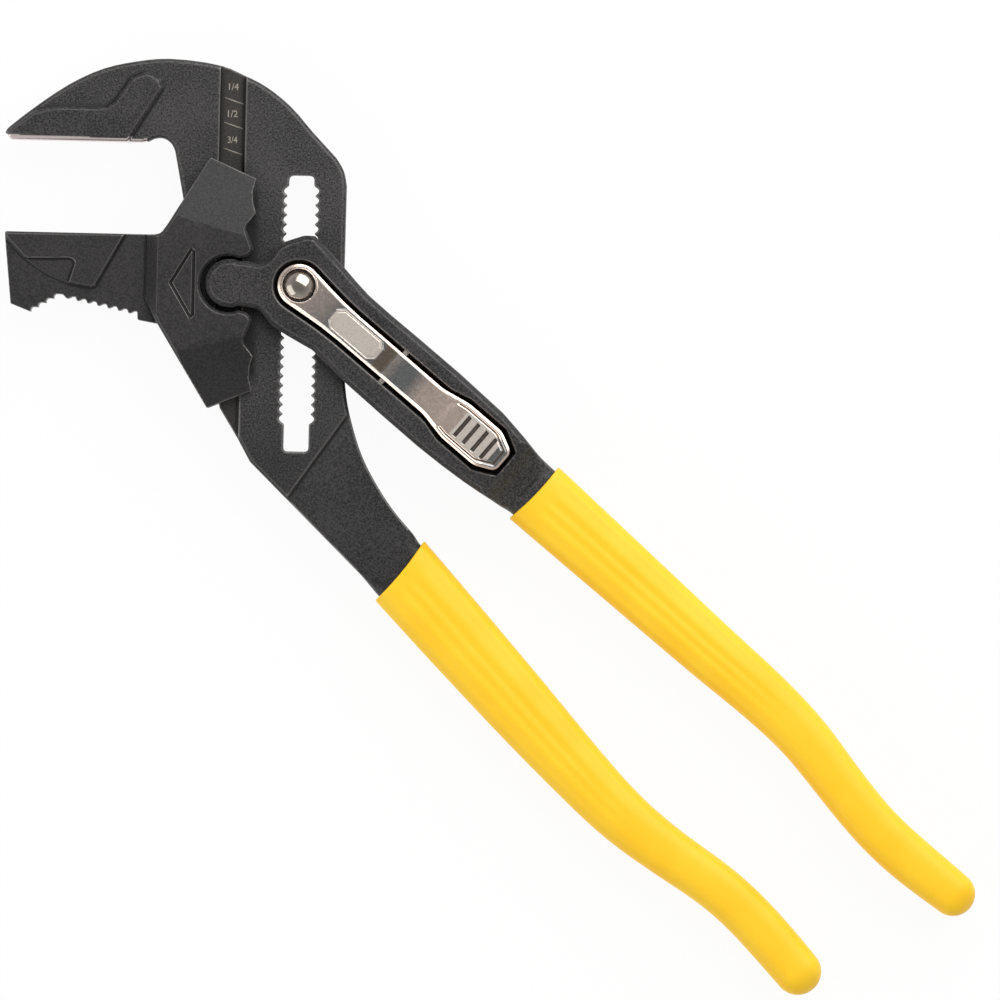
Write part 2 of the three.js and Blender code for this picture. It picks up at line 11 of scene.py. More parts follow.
import bmesh
import bpy
import numpy as np
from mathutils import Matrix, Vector
from mathutils.kdtree import KDTree

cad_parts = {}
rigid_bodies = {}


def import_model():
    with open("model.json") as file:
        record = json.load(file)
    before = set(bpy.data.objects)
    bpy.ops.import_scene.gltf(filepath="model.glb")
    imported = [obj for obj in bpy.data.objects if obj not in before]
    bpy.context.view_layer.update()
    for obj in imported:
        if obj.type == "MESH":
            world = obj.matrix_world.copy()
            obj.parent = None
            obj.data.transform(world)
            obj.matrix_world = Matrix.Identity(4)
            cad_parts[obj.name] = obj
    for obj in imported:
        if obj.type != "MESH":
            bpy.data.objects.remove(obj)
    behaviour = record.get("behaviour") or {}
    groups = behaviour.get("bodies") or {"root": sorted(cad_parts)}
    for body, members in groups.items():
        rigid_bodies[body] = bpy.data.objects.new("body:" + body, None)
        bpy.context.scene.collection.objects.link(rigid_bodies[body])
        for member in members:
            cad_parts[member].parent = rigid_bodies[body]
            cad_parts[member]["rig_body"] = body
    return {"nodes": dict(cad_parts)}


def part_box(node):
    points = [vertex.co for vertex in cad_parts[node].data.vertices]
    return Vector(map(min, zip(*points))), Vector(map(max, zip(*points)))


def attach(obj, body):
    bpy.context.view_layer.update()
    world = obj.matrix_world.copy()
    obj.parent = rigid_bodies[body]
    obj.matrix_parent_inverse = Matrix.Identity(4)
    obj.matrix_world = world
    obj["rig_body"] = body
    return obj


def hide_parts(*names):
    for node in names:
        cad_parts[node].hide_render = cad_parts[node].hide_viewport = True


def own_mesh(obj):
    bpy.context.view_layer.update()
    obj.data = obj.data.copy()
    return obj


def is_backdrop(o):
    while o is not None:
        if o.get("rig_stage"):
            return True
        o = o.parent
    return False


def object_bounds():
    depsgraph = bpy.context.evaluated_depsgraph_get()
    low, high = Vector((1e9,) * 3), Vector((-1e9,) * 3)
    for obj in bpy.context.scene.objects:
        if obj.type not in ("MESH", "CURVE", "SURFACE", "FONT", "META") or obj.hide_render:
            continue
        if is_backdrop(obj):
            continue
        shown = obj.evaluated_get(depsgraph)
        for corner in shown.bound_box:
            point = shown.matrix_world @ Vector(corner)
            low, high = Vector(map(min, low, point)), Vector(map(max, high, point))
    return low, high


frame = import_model()
cad_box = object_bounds()
nodes = frame["nodes"]
scene = bpy.context.scene
scene.view_settings.view_transform = "Standard"
MM = 0.001
MID = 10.3  # height of the plate's mid-plane above the bench
print("solids:", len(nodes), "box:", [round(v / MM, 1) for v in cad_box[1] - cad_box[0]], "mm")

# %% [markdown]
# ## Colours and shader nodes
# Colours are written as sRGB hex values, and Blender mixes light in linear values, so one function
# converts them. Another adds a shader node with its settings and links, so that a material reads as
# a short list. Patterns are sized in real millimetres.

# %% Helpers for materials
def paint(code):
    channels = [int(code[i:i + 2], 16) / 255 for i in (1, 3, 5)]
    return [c / 12.92 if c <= 0.04045 else ((c + 0.055) / 1.055) ** 2.4 for c in channels] + [1.0]


def per_mm(size):
    return 1 / (size * MM)


def add_node(tree, kind, inputs=(), stops=(), **settings):
    """Adds a shader node with its settings, its links and, on a colour ramp, its stops."""
    made = tree.nodes.new("ShaderNode" + kind)
    for name, value in settings.items():
        setattr(made, name, value)
    for key, value in dict(inputs).items():
        if isinstance(value, bpy.types.NodeSocket):
            tree.links.new(value, made.inputs[key])
        else:
            made.inputs[key].default_value = value
    for i, (position, code) in enumerate(stops):
        ramp = made.color_ramp.elements
        stop = ramp[i] if i < len(ramp) else ramp.new(position)
        stop.position = position
        stop.color = paint(code)
    return made


def new_material(name):
    material = bpy.data.materials.new(name)
    material.use_nodes = True
    tree = material.node_tree
    surface = tree.nodes["Principled BSDF"]
    place = add_node(tree, "TexCoord").outputs["Object"]
    return material, tree, surface, place


print("mid grey in linear light:", [round(v, 3) for v in paint("#808080")])

# %% [markdown]
# ## Black-oxide steel
# The jaws and the lever are drop forged, blasted and blackened in a hot salt bath. The oxide is a thin
# dark skin that takes oil, so it is charcoal with a fine grain, and its sheen is broad and weak. The
# grain could be an image, but noise at the grit's own size fits every face without unwrapping. Blasting
# grit leaves pits of about 0.2 mm, drawn here at 0.45 mm, because a finer grain would vanish between
# pixels. Edges rub bare first. Creases and gaps are darkened with painted shade, and a few faces with oil,
# so the mesh carries a value for each.

# %% Make the blackened steels
# the first tone is painted shade in creases and gaps, and oil on a few faces; the second is real wear
OIL_AND_SHADE, BARE_EDGE = "#0d0c0c", "#8d8b89"
CLOUD = 16  # size of the bath's uneven patches


def blackened_steel(name, dark, light, grit, depth, roughness):
    material, tree, surface, place = new_material(name)
    grain = add_node(tree, "TexNoise", {
        "Vector": place, "Scale": per_mm(grit), "Detail": 2, "Roughness": 0.6}).outputs["Fac"]
    cloud = add_node(tree, "TexNoise", {
        "Vector": place, "Scale": per_mm(CLOUD), "Detail": 2}).outputs["Fac"]
    fine = add_node(tree, "Math", {0: grain, 1: 0.8}, operation="MULTIPLY").outputs[0]
    mottle = add_node(tree, "Math", {0: cloud, 1: 0.2, 2: fine}, operation="MULTIPLY_ADD").outputs[0]
    skin = add_node(tree, "ValToRGB", {"Fac": mottle}, [(0.4, dark), (0.6, light)]).outputs["Color"]
    darkened = add_node(tree, "Attribute", attribute_name="crease").outputs["Fac"]
    worn = add_node(tree, "Attribute", attribute_name="wear").outputs["Fac"]
    for share, code in ((darkened, OIL_AND_SHADE), (worn, BARE_EDGE)):
        layers = {"Factor": share, 6: skin, 7: paint(code)}
        skin = add_node(tree, "Mix", layers, data_type="RGBA").outputs[2]
    gloss = add_node(tree, "MapRange", {"Value": worn, "To Min": roughness, "To Max": 0.28}).outputs[0]
    bump = add_node(tree, "Bump", {"Height": grain, "Strength": 0.8, "Distance": depth * MM})
    tree.links.new(skin, surface.inputs["Base Color"])
    tree.links.new(worn, surface.inputs["Metallic"])
    tree.links.new(gloss, surface.inputs["Roughness"])
    tree.links.new(bump.outputs["Normal"], surface.inputs["Normal"])
    surface.inputs["Specular IOR Level"].default_value = 0.33
    return material


# a grainy charcoal with a weak sheen, a smoother one with a clearer sheen, and a dull brownish one
forged_steel = blackened_steel("black_oxide_forged_steel", "#191818", "#484646", 0.45, 0.08, 0.45)
jaw_steel = blackened_steel("black_oxide_milled_steel", "#242323", "#383636", 0.45, 0.03, 0.36)
channel_steel = blackened_steel("black_oxide_broached_channel", "#292624", "#3d3936", 0.5, 0.03, 0.5)
print("blackened steels:", forged_steel.name, jaw_steel.name, channel_steel.name)


# %% [markdown]
# ## Bright metals
# The rocker and the rivet are nickel plated, a warm bright metal that is rarely a perfect mirror. The
# hook's gripping face is ground after blackening and shows bare steel, painted paler and pinker than
# steel as a painted reflection of the white table. A metal takes its colour from the base colour and its
# look from what it mirrors, so the roughness and the lights do most of the work. Blasting dulls the plaque,
# painted shade darkens the slots, and the rivet is spun to a near mirror. Grinding draws lines across the
# face, so its noise is stretched.

# %% Make the bright metals
def bright_metal(name, colours, blotch, roughness, stretch=(1, 1, 1), stops=(0.3, 0.7)):
    material, tree, surface, place = new_material(name)
    along = add_node(tree, "Mapping", {"Vector": place, "Scale": stretch}).outputs[0]
    cloud = add_node(tree, "TexNoise", {
        "Vector": along, "Scale": per_mm(blotch), "Detail": 4, "Roughness": 0.6}).outputs["Fac"]
    skin = add_node(tree, "ValToRGB", {"Fac": cloud}, zip(stops, colours)).outputs["Color"]
    gloss = add_node(tree, "MapRange", {
        "Value": cloud, "From Min": 0.3, "From Max": 0.7,
        "To Min": roughness * 1.25, "To Max": roughness * 0.8}).outputs[0]
    bump = add_node(tree, "Bump", {"Height": cloud, "Strength": 0.2, "Distance": 0.005 * MM})
    tree.links.new(skin, surface.inputs["Base Color"])
    tree.links.new(gloss, surface.inputs["Roughness"])
    tree.links.new(bump.outputs["Normal"], surface.inputs["Normal"])
    surface.inputs["Metallic"].default_value = 1.0
    return material


blasted_nickel = bright_metal("blasted_nickel_plaque", ("#bab0a6", "#d9d1c7"), 0.6, 0.45)  # frosted
recess_shade_nickel = bright_metal("recess_shade_nickel", ("#4a4440", "#6a625b"), 0.8, 0.45)  # dark, dull: painted shade in the slots and recesses
polished_nickel = bright_metal("polished_nickel_rivet", ("#a9a096", "#bdb5ab"), 2.0, 0.14)  # a mirror
ground_steel_and_reflection = bright_metal("ground_steel_face", ("#e6d6d4", "#f4eae8"), 0.8, 0.3, (6, 1, 1))  # streaky, paler and pinker than steel: a painted reflection
turned_steel = bright_metal("turned_steel_pin", ("#a9a49d", "#c8c3bb"), 0.5, 0.3)  # a soft gleam
oiled_steel = bright_metal("oiled_steel_bush", ("#5c5a57", "#767370"), 0.8, 0.4)  # a dark grey film
spring_steel = bright_metal("drawn_spring_wire", ("#8a8680", "#b0aca6"), 0.4, 0.35)  # a grey gleam
print("bright metals:", polished_nickel.name, ground_steel_and_reflection.name, turned_steel.name)

# %% [markdown]
# ## Nickel with painted reflections
# The nickel's tone changes along the rocker as a painted reflection: brown behind the plaque, a cool grey
# behind the crease, and a warm pale sheen on the pad. The rim takes the palest tone, as a painted
# highlight. The tones could be painted by hand, but the rocker's mesh can carry a value
# along its length, so one ramp of three tones turns that value into colour, and noise breaks its edges.

# %% Make the rocker's nickel
# the three tones are painted reflections; the palest is also a painted highlight on the rim
nickel = bright_metal("nickel_plated_steel", ("#8e8072", "#929495", "#f7e1d2"), 0.8, 0.22,
                      stops=(0.1, 0.55, 1.0))
tree = nickel.node_tree
reflection_share = add_node(tree, "Attribute", attribute_name="reflection_tone").outputs["Fac"]
grain = add_node(tree, "TexNoise", {
    "Vector": tree.nodes["Texture Coordinate"].outputs["Object"], "Scale": per_mm(0.6), "Detail": 2})
tone = add_node(tree, "Math", {0: grain.outputs["Fac"], 1: 0.24, 2: reflection_share}, operation="MULTIPLY_ADD")
tree.links.new(tone.outputs[0], tree.nodes["Color Ramp"].inputs["Fac"])
print("stained nickel:", nickel.name)

# %% [markdown]
# ## Dipped PVC
# Each handle is dipped in hot liquid PVC, which runs down and sets as a soft satin skin. It is an even
# yellow, a little deeper where it is thick, with fine pores that only soften the gloss. Real pores are
# under 0.1 mm, drawn here at 0.6 mm, so that they still break the highlights.

# %% Make the grip skin
dipped_pvc, tree, surface, place = new_material("dipped_yellow_pvc")
cloud = add_node(tree, "TexNoise", {"Vector": place, "Scale": per_mm(14), "Detail": 2})
skin = add_node(tree, "ValToRGB", {"Fac": cloud.outputs["Fac"]}, [(0.3, "#ffc81f"), (0.7, "#ffcf2c")])
pores = add_node(tree, "TexNoise", {"Vector": place, "Scale": per_mm(0.6), "Detail": 2})
bump = add_node(tree, "Bump", {"Height": pores.outputs["Fac"], "Strength": 0.2, "Distance": 0.03 * MM})
tree.links.new(skin.outputs["Color"], surface.inputs["Base Color"])
tree.links.new(bump.outputs["Normal"], surface.inputs["Normal"])
surface.inputs["Roughness"].default_value = 0.45
surface.inputs["Specular IOR Level"].default_value = 0.3
print("grip skin:", dipped_pvc.name)


# %% [markdown]
# ## Meshes as tables of numbers
# A fine mesh has hundreds of thousands of points, and a Python loop over them is slow. Blender can copy
# a field of all points into one numpy array, so the helpers below read places, directions and edges as
# tables in millimetres, and write values back in one go.

# %% Helpers for meshes
def read(items, field, width):
    values = np.empty(len(items) * width, np.int32 if width == 2 else np.float32)
    items.foreach_get(field, values)
    return values.reshape(-1, width)


def spots_of(piece):
    return read(piece.data.vertices, "co", 3) / MM


def faces_of(piece):
    return read(piece.data.polygons, "center", 3) / MM, read(piece.data.polygons, "normal", 3)


def paint_faces(piece, index):
    piece.data.polygons.foreach_set("material_index", np.asarray(index, np.int32))


def set_values(mesh, name, values):
    layer = mesh.attributes.get(name) or mesh.attributes.new(name, "FLOAT", "POINT")
    layer.data.foreach_set("value", np.asarray(values, np.float32))


def darken_points(piece, darkness):
    """Adds darkness, given for each point as a share from 0 to 1, to the painted shade that its creases
    hold.
    """
    crease = read(piece.data.attributes["crease"].data, "value", 1)[:, 0]
    set_values(piece.data, "crease", np.maximum(crease, darkness))


def baked(piece):
    return bpy.data.meshes.new_from_object(piece.evaluated_get(bpy.context.evaluated_depsgraph_get()))


def dress(piece, node_name, slot, *materials):
    """Gives a piece its finishes, and lets it stand for a CAD node on that node's body."""
    for material in materials:
        piece.data.materials.append(material)
    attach(piece, nodes[node_name]["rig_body"])
    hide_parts(node_name)
    print(piece.name, len(piece.data.polygons), "faces")
    return piece


print("points in the largest solid:", max(len(node.data.vertices) for node in nodes.values()))


# %% [markdown]
# ## Worn edges
# CAD edges are razor sharp, and a forged edge is round. A bevel could round them one by one, but on
# outlines with this many notches it tangles, so each solid is rebuilt from a fine voxel field and
# smoothed by a few steps, which rounds all edges by the same small radius and keeps the flats flat.
# A point on an edge then stands above the mean of its neighbours, and one in a crease below it. That
# height says where the skin rubs bare and where shade is painted into the creases. It is measured on the
# even voxel mesh, and copied to the nearest points once the mesh is thinned.

# %% Measure edges and creases
FAR_STEPS = 6  # of averaging, which reach about as far as a crease is wide


def neighbour_mean(mesh):
    """Gives a function that averages a table of values over each point's neighbours."""
    one, other = read(mesh.edges, "vertices", 2).T
    count = len(mesh.vertices)
    links = np.bincount(one, minlength=count) + np.bincount(other, minlength=count)

    def mean(values):
        sums = [np.bincount(one, column[other], count) + np.bincount(other, column[one], count)
                for column in values.T]
        return (np.array(sums) / links).T
    return mean


def bulges(mesh, mean, voxel):
    """How far each point stands above its neighbours, close by and further off, in voxels."""
    spots = read(mesh.vertices, "co", 3)
    normals = read(mesh.vertex_normals, "vector", 3)
    level, heights = spots, []
    for _ in range(FAR_STEPS):
        level = mean(level)
        heights.append(((spots - level) * normals).sum(1) / (voxel * MM))
    return heights[0], heights[-1]


print("a crease is measured over", FAR_STEPS, "rings of neighbours")


# %% Rebuild a solid with round edges
WEAR_FROM, WEAR_OVER, MOST_WORN = 0.04, 0.12, 0.74  # heights in voxels, and the largest share
# crease depths in voxels over which painted shade darkens a crease, and its largest share
CREASE_SHADE_FROM, CREASE_SHADE_OVER, MOST_SHADED = 0.04, 0.2, 0.95


def rounded_piece(node_name, voxel, steps):
    piece = bpy.data.objects.new(node_name + "_worn", nodes[node_name].data.copy())
    scene.collection.objects.link(piece)
    mesh = bmesh.new()
    mesh.from_mesh(piece.data)
    bmesh.ops.remove_doubles(mesh, verts=mesh.verts, dist=1e-6)
    mesh.to_mesh(piece.data)
    mesh.free()
    field = piece.modifiers.new("field", "REMESH")
    field.mode = "VOXEL"
    field.voxel_size = voxel * MM
    wear = piece.modifiers.new("wear", "SMOOTH")
    wear.factor = 0.5
    wear.iterations = steps
    apply_modifiers(piece)
    return piece


def apply_modifiers(piece):
    mesh = baked(piece)
    piece.modifiers.clear()
    piece.data = mesh


def worn_copy(node_name, voxel, steps, share, reshape=None):
    """A rounded copy with a share of its faces left, and with its wear and its painted crease shade at each
    point.
    """
    piece = rounded_piece(node_name, voxel, steps)
    fine = piece.data
    mean = neighbour_mean(fine)
    if reshape:
        spots = reshape(spots_of(piece), mean) * MM
        fine.vertices.foreach_set("co", spots.astype(np.float32).ravel())
        fine.update()
    near, far = bulges(fine, mean, voxel)
    lookup = KDTree(len(fine.vertices))
    for i, vertex in enumerate(fine.vertices):
        lookup.insert(vertex.co, i)
    lookup.balance()
    piece.modifiers.new("thin", "DECIMATE").ratio = share
    apply_modifiers(piece)
    mesh = piece.data
    mesh.name = piece.name
    mesh.materials.clear()
    mesh.polygons.foreach_set("use_smooth", np.ones(len(mesh.polygons), bool))
    nearest = np.array([lookup.find(vertex.co)[1] for vertex in mesh.vertices])
    set_values(mesh, "wear", np.clip((near - WEAR_FROM) / WEAR_OVER, 0, MOST_WORN)[nearest])
    set_values(mesh, "crease", np.clip((-far - CREASE_SHADE_FROM) / CREASE_SHADE_OVER, 0, MOST_SHADED)[nearest])
    print(piece.name, "thinned from", len(fine.vertices), "to", len(mesh.vertices), "points")
    return piece


# %% [markdown]
# ## Hook jaw, plate and tang
# One forging makes the hook, the slotted plate and the left handle's tang. Its gripping face is ground
# after blackening, and the wheel leaves a bright bevel that narrows towards the throat. A bevel modifier
# would need that one edge among thousands, so the points of a strip are lowered to a slope instead.
# Where the plate meets the tang, the points are averaged, which melts the step into a forged fillet.

# %% Shape the hook
TIP_X, FACE_Y, FACE_END, PAD_EDGE = -73, 34.5, -38.2, -41.5  # the gripping face, and the pad's end on it
PLATE_HALF, PAD_HALF = 5, 6  # half thicknesses
BEVEL_WIDTHS, BEVEL_SLOPE = (1.2, 0.8, 0.1), 0.6  # at the tip, at the pad's end and at the throat
FILLET, FILLET_STEPS = 4.5, 40
PLATE_CORNERS = ((30.9, -62.9), (18.8, -73.0))  # where the plate meets its tang


def run_into_tang(spots, mean, corners):
    """Averages the points near each corner, so that the forging runs into its tang without a step."""
    away = np.min([np.hypot(*(spots[:, :2] - corner).T) for corner in corners], 0)
    share = np.clip((FILLET - away) / 2, 0, 1)[:, None]
    for _ in range(FILLET_STEPS):
        spots = spots + share * (mean(spots) - spots)
    return spots


def shape_hook(spots, mean):
    spots = run_into_tang(spots, mean, PLATE_CORNERS)
    edge = FACE_Y + np.interp(spots[:, 0], [TIP_X, PAD_EDGE, FACE_END], BEVEL_WIDTHS)
    top = np.where(spots[:, 0] < PAD_EDGE, PAD_HALF, PLATE_HALF)
    top = top - BEVEL_SLOPE * np.clip(edge - spots[:, 1], 0, None)
    on_face = (spots[:, 0] < FACE_END) & (spots[:, 1] < edge) & (spots[:, 1] > FACE_Y - 1)
    height = np.where(on_face, np.clip(spots[:, 2] - MID, -top, top), spots[:, 2] - MID)
    return np.column_stack([spots[:, :2], height + MID])


hook = dress(worn_copy("fixed_jaw_handle", voxel=0.27, steps=4, share=0.35, reshape=shape_hook),
             "fixed_jaw_handle", "black_oxide_forging", forged_steel, ground_steel_and_reflection, channel_steel)

# %% Finish the hook's faces
CHANNEL_X, CHANNEL_HALF = -17.35, 3.0
at, facing = faces_of(hook)
ground = (at[:, 0] < FACE_END) & (at[:, 1] > 33) & (at[:, 1] < 35.8) & (facing[:, 1] < -0.3)
in_channel = (abs(at[:, 0] - CHANNEL_X) < CHANNEL_HALF) & (abs(at[:, 2] - MID) < 3.6)
in_channel &= abs(facing[:, 2]) > 0.7
paint_faces(hook, ground * 1 + in_channel * 2)
print("ground faces:", int(ground.sum()), "channel faces:", int(in_channel.sum()))

# %% [markdown]
# ## Painted shade and oil on the plate
# Shade is painted along the track that the sliding jaw rubs over, so that the plate in the gap round the
# knuckle shows dark, as in deep shadow. The plate also darkens towards the tang's end, and a thin film of
# oil darkens the raised pad. A second material could do this, but the crease value is there already, so the
# darkening is added to it.

# %% Darken the plate with painted shade and oil
SOCKET_AT, SOCKET_RADIUS = (-17.45, 0.0), 6.95  # where the lever's knuckle sits in the sliding jaw
TRACK_HALF, TRACK_REACH = 7.4, 24.5
TANG_START = -27
east, north, height = spots_of(hook).T
# painted shade along the slide track, which darkens the deep gap round the knuckle
track = np.clip((TRACK_HALF - abs(east - SOCKET_AT[0])) / 0.8, 0, 1)
track *= np.clip((TRACK_REACH - abs(north)) / 3, 0, 1)
# darker towards the tang's end, and a thin film of oil on the raised pad
tang = np.clip((TANG_START - north) / 15, 0, 1)
pad = abs(height - MID) > 5.6
darken_points(hook, np.maximum.reduce([0.9 * track, 0.4 * tang, 0.18 * pad]))
print("oiled track:", int((track > 0.5).sum()), "points")

# %% [markdown]
# ## Sliding jaw
# The sliding jaw is forged like the hook and then milled, so it is smoother and a little glossier. Its
# nose, wings, arrow and teeth are in the solid, and need only their worn edges. Shade is painted on the
# walls of the socket that the knuckle turns in, where the gap lies in deep shadow, and on the facet that
# faces the handles, which turns away from the main light.

# %% Dress the sliding jaw
FACET_AT, FACET_SLOPE = (-14.5, -13), 0.237  # a point on the facet's edge, and how that edge climbs


def shade_walls(piece, centre, radius):
    """Paints shade on the upright walls inside a circle, where a deep gap lies in shadow."""
    upright = abs(read(piece.data.vertex_normals, "vector", 3)[:, 2]) < 0.5
    darken_points(piece, 0.95 * (upright & (np.hypot(*(spots_of(piece)[:, :2] - centre).T) < radius)))


jaw = dress(worn_copy("sliding_jaw", voxel=0.18, steps=3, share=0.35),
            "sliding_jaw", "black_oxide_jaw", jaw_steel)
shade_walls(jaw, SOCKET_AT, SOCKET_RADIUS + 0.4)
east, north, _ = spots_of(jaw).T
# painted shade on the facet that faces the handles, which turns away from the main light
facet = north < FACET_AT[1] + FACET_SLOPE * (east - FACET_AT[0])
darken_points(jaw, 0.35 * facet)
print("oiled facet:", int(facet.sum()), "points")

# %% [markdown]
# ## Lever
# The lever is a forging too, and it runs into its tang with the same fillet. Its own axes run along and
# across it, which makes places on it easy to name, so a small matrix turns them into the tool's axes.

# %% Dress the lever
LEVER_ANGLE = math.radians(-39.5)
TURN = np.array([[math.cos(LEVER_ANGLE), math.sin(LEVER_ANGLE)],
                 [-math.sin(LEVER_ANGLE), math.cos(LEVER_ANGLE)]])
LEVER_CORNERS = ((62.2, -42.8), (52.8, -54.1))  # where the lever meets its tang
DARKENED_TO = 68  # along the lever, past the rocker


def shape_lever(spots, mean):
    return run_into_tang(spots, mean, LEVER_CORNERS)


lever = dress(worn_copy("lever_handle", voxel=0.27, steps=4, share=0.35, reshape=shape_lever),
              "lever_handle", "black_oxide_forging", forged_steel)
# painted shade on the knuckle's walls, in the gap round it
shade_walls(lever, SOCKET_AT, SOCKET_RADIUS)
along = spots_of(lever)[:, :2] @ TURN[0]
# darker from the knuckle end to just past the rocker
darken_points(lever, 0.22 * np.clip((DARKENED_TO - along) / 8, 0, 1))

# %% [markdown]
# ## Pins and bush
# These are turned parts. The cross pin's ends show beside the rocker, and the toothed pin and its bush
# show only from the back and through the slot. They could be turned anew from a section, but the solids
# are right, so they get the same worn edges from a finer field.

# %% Dress the turned pieces
for node_name, slot, material, voxel in (
    ("rocker_cross_pin", "bright_steel", turned_steel, 0.1),
    ("toothed_pivot_pin", "bright_steel", turned_steel, 0.15),
    ("pivot_bushing", "bush_steel", oiled_steel, 0.15),
):
    dress(worn_copy(node_name, voxel, steps=3, share=0.5), node_name, slot, material)


# %% [markdown]
# ## Release rocker
# The thumb lever is stamped from sheet, so its top is a relief: a rim all round, a sunken field with a
# bare plaque, a ring round the rivet, and a pad with four slots for the thumb. A relief is a height over
# a plan, so the top is a fine grid that follows the outline, and each detail is a smooth step in its
# height. The underside repeats the grid, and walls join the two. Places are measured along the lever
# from the pivot, and across it from its middle.

# %% Draw the rocker's plan
EYE, PAD_END, CORNER = 5.25, 66.3, 1.2  # radius of the eye, end of the pad, radius of its corners
EYE_TO = 0.55  # where the eye's arc meets the straight sides
SIDE_AT = [0.5, 1.4, 6.4, 11, 16.3, 43.5, 50.8, 61.3, PAD_END, PAD_END + 4]
SIDE_HALF = [5.22, 5.15, 4.6, 4.15, 3.95, 3.95, 5.4, 5.4, 2.95, 0.95]

bend = np.radians(np.arange(4, 85, 2.5))
stations = np.concatenate([
    -EYE * np.cos(bend), np.arange(0.2, 48, 0.2), np.arange(48, PAD_END - CORNER, 0.11),
    PAD_END - CORNER * (1 - np.sin(np.radians(np.arange(0, 91, 6))))])
blur = np.linspace(-2, 2, 17)
weights = np.exp(-blur ** 2 / 2) / np.exp(-blur ** 2 / 2).sum()
spread = np.interp(stations, [20, 40], [0, 0.8])  # the pad's corners are rounded, the neck's are not
straight = sum(w * np.interp(stations + b * spread, SIDE_AT, SIDE_HALF) for b, w in zip(blur, weights))
lean = 1 / np.sqrt(1 + np.gradient(straight, stations) ** 2)
to_end = np.clip(CORNER - (PAD_END - stations), 0, CORNER)
rounded = straight - (CORNER - np.sqrt(CORNER ** 2 - to_end ** 2)) / lean
half = np.where(stations < EYE_TO, np.sqrt(np.clip(EYE ** 2 - stations ** 2, 0, None)), rounded)
shares = np.sin(np.linspace(-math.pi / 2, math.pi / 2, 85)) * 0.35 + np.linspace(-1, 1, 85) * 0.65
x = np.repeat(stations[:, None], len(shares), 1)
y = half[:, None] * shares[None, :]
from_eye = np.hypot(x, y)
side_in, end_in = (straight[:, None] - abs(y)) * lean[:, None], PAD_END - x
nearest = np.minimum(side_in, end_in)
corner_in = CORNER - np.hypot(np.clip(CORNER - side_in, 0, None), np.clip(CORNER - end_in, 0, None))
inset = np.where(x < EYE_TO, EYE - from_eye, np.where(nearest < CORNER, corner_in, nearest))
print("rocker plan:", x.shape, "points")


# %% Raise its relief
RIM, RIM_DROP = 0.56, 0.24  # width of the bevelled rim, and by how much it falls
CROSS_PIN_ALONG, CREASE_ALONG, PAD_ALONG = 30.7, 29.2, 48.6
RING, RIVET_SEAT, SEAT_HEIGHT = 4.35, 4.1, 8.8
PLAQUE_START, PLAQUE_END, PLAQUE_HALF, PLAQUE_FLAT = 10.9, 26.1, 3.15, 1.6
SLOTS_AT = (53.05, 55.85, 58.65, 61.45)


def rise(value, low, high):
    share = np.clip((value - low) / (high - low), 0, 1)
    return share * share * (3 - 2 * share)


def hump(value, centre, half_width):
    return rise(half_width - abs(value - centre), 0, half_width)


def cut_corner(run):
    return (run * 1.4 - (abs(y) - PLAQUE_FLAT) * 1.6) / 2.13


top = np.interp(x, [-7, CROSS_PIN_ALONG, 68], [10.3, 10.9, 12.4])
top -= RIM_DROP * (1 - np.clip(inset / RIM, 0, 1))
inside = rise(inset, RIM + 0.03, RIM + 0.17)
front = 1 - rise(x, CREASE_ALONG - 0.25, CREASE_ALONG + 0.15)
neck = (1 - front) * (1 - rise(x, PAD_ALONG - 1.8, PAD_ALONG))
top -= inside * (0.35 * front + 0.16 * neck)
top += 0.3 * (1 - rise(from_eye, RING, RING + 0.15)) * inside
plaque_in = np.minimum.reduce([
    PLAQUE_HALF - abs(y), x - PLAQUE_START, PLAQUE_END - x,
    cut_corner(x - PLAQUE_START), cut_corner(PLAQUE_END - x)])
top += 0.3 * rise(plaque_in, 0, 0.2) - 0.12 * hump(plaque_in, 0.55, 0.16)
at_end = rise(x, 60, 62.5)
groove = rise(x, 48.3, 49.2) * hump(inset, 1.25 + 0.25 * at_end, 0.35 + 0.4 * at_end)
slots = sum((1 - rise(abs(x - s), 0.25, 0.55)) * (1 - rise(abs(y), 2.95, 3.2)) for s in SLOTS_AT)
top -= 0.32 * groove + 0.5 * slots
seat = 1 - rise(from_eye, RIVET_SEAT - 0.12, RIVET_SEAT)
top += (SEAT_HEIGHT - top) * seat
under = np.interp(x, [-7, 26.5, 28, 33.5, 36, 68], [7.7, 7.7, 7.3, 7.3, 8.3, 9.67])
print("rocker relief:", round(float(top.min()), 2), "to", round(float(top.max()), 2), "mm")


# %% Join top, underside and walls
EYE_HOLE = 2.8  # radius of the hole under the rivet


def mesh_piece(name, points, faces):
    mesh = bpy.data.meshes.new(name)
    mesh.from_pydata((np.asarray(points) * MM).tolist(), [], [list(map(int, face)) for face in faces])
    mesh.polygons.foreach_set("use_smooth", np.ones(len(mesh.polygons), bool))
    piece = bpy.data.objects.new(name, mesh)
    scene.collection.objects.link(piece)
    return piece


def on_lever(along, across, height):
    flat = np.stack([along, across], -1) @ TURN
    return np.concatenate([flat, (height + MID)[..., None]], -1)


